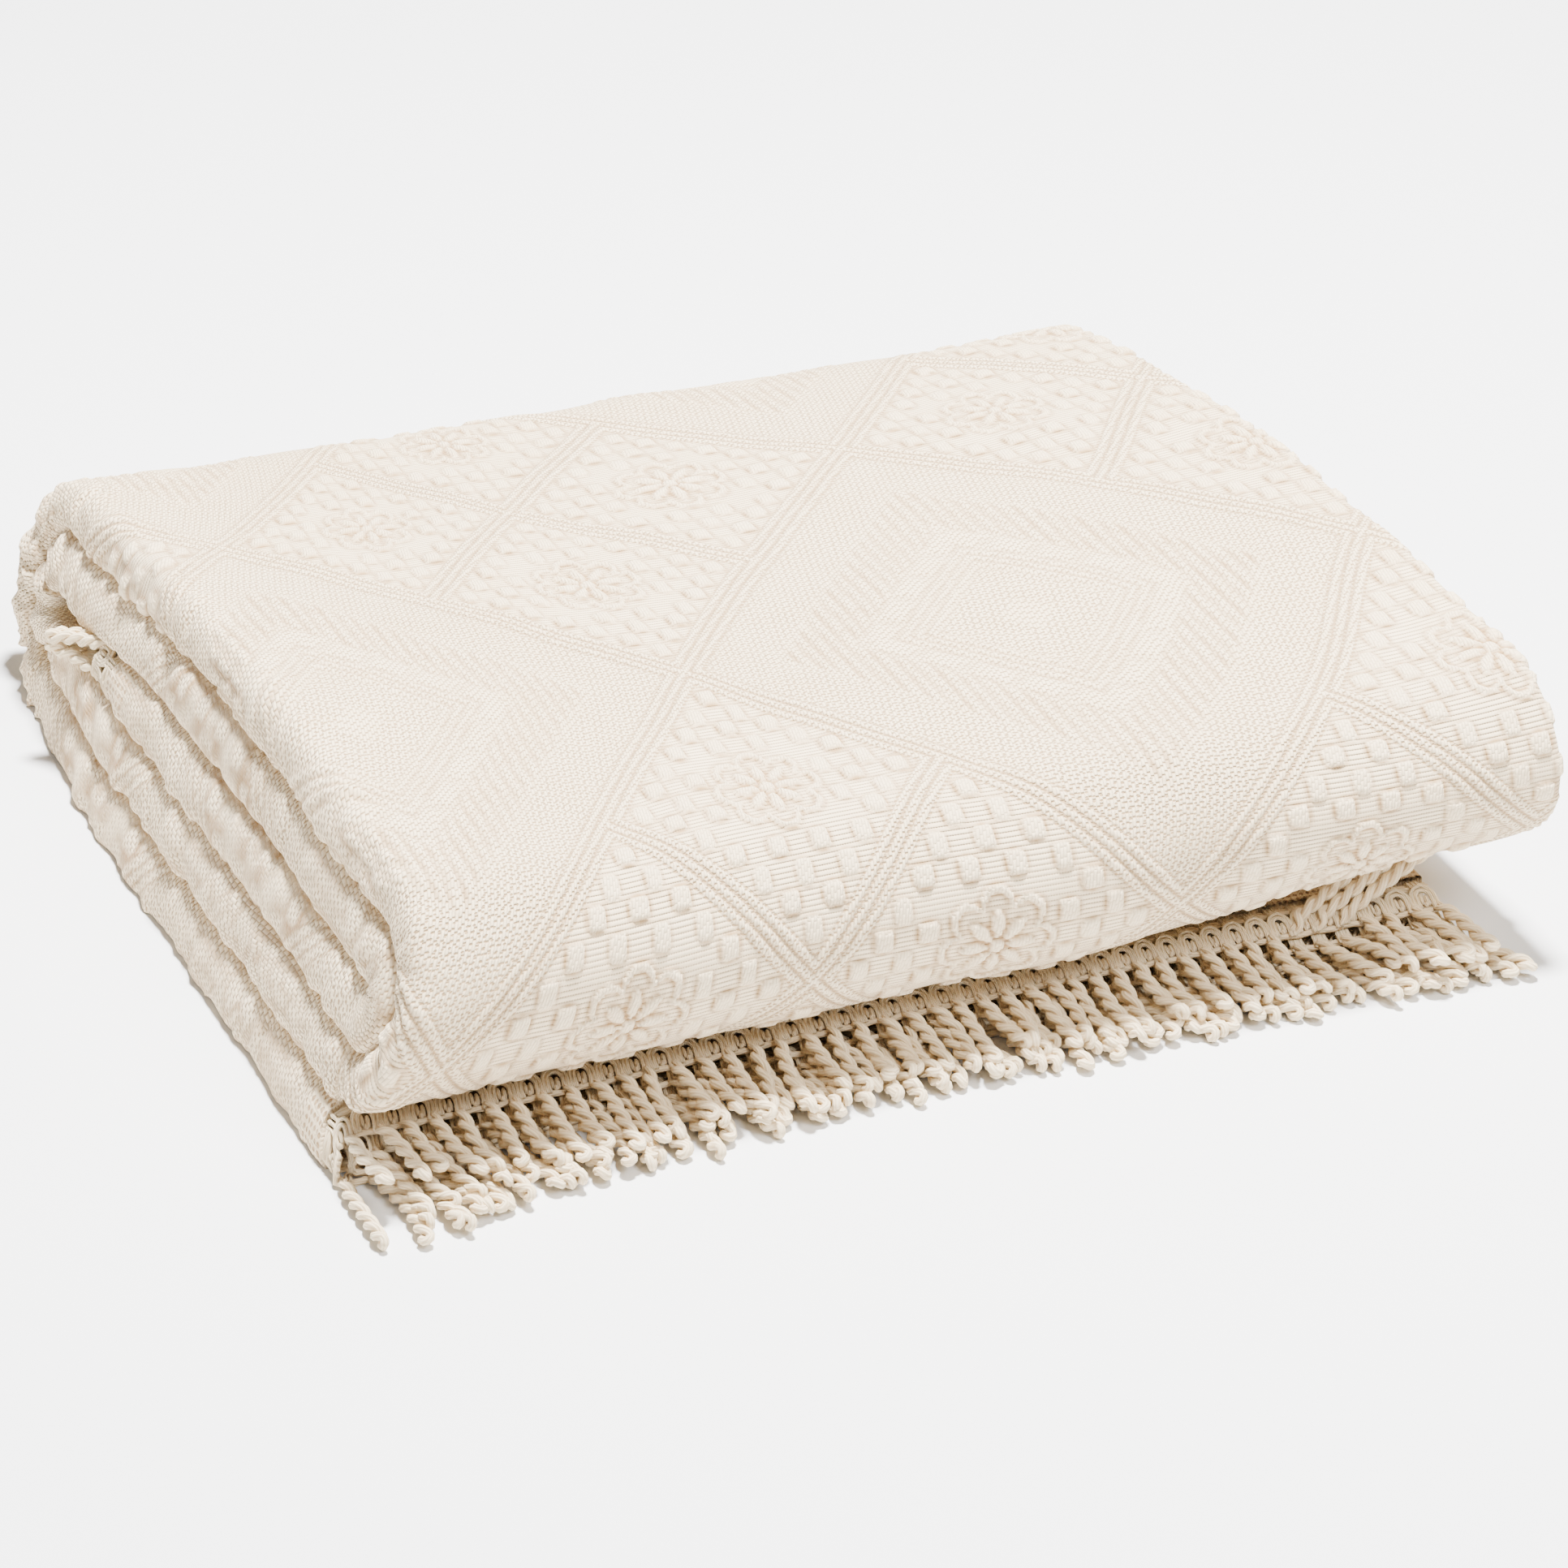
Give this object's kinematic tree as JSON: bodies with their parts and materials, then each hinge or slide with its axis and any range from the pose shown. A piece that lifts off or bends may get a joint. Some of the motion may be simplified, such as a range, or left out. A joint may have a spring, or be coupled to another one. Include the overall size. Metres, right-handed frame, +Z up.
{
  "type": "folded cotton bedspread",
  "caption": "Cotton bedspread with a raised diamond weave and a twisted fringe, folded into a soft flat bundle that rests on its underside.",
  "frame": {"origin": "middle of the underside of the whole bundle, fringe included", "axes": "+X along the front from the rolled end to the edges, -Y towards the fringed front, +Z up"},
  "size_m": [0.578, 0.5709, 0.1343],
  "materials": {
    "cloth": "matt natural cotton, woven in relief",
    "fringe": "matt natural cotton cord, twisted"
  },
  "bodies": {
    "root": {"bedspread_cloth": "cloth", "front_fringe": "fringe", "inner_fringe": "fringe"}
  },
  "joints": []
}
